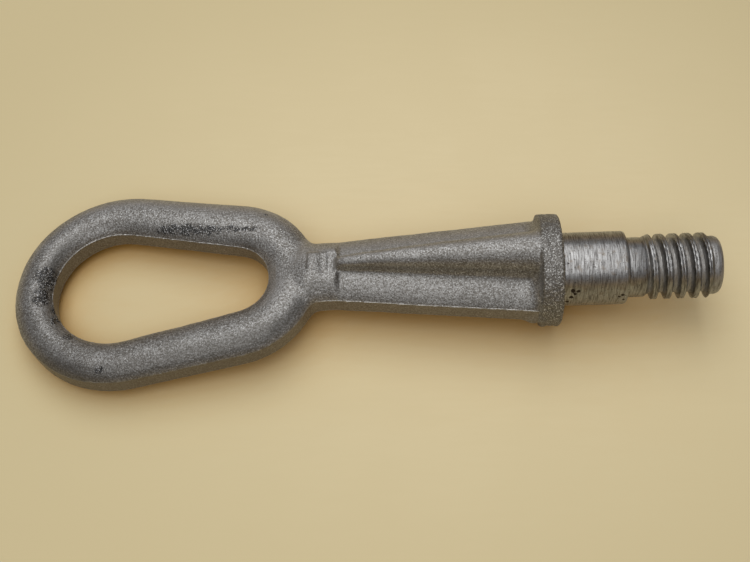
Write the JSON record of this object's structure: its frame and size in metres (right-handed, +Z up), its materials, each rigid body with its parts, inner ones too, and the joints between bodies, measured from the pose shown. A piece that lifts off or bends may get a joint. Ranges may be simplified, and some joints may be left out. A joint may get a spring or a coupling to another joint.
{
  "type": "tow eye",
  "caption": "Forged screw-in tow eye: egg-shaped eye, cross-section shank flaring to a round collar, turned pilot and coarse thread.",
  "frame": {"origin": "on the shank axis, in the plane of the collar's seat face, where the pilot starts", "axes": "+X along the shank and out of the threaded tip, the eye lies in the XY plane, +Z up"},
  "size_m": [0.1951, 0.0593, 0.0308],
  "materials": {
    "forged_steel": "bare forged steel, fine shot-blasted skin with a turned and rolled end"
  },
  "bodies": {
    "root": {"tow_eye": "forged_steel"}
  },
  "joints": []
}
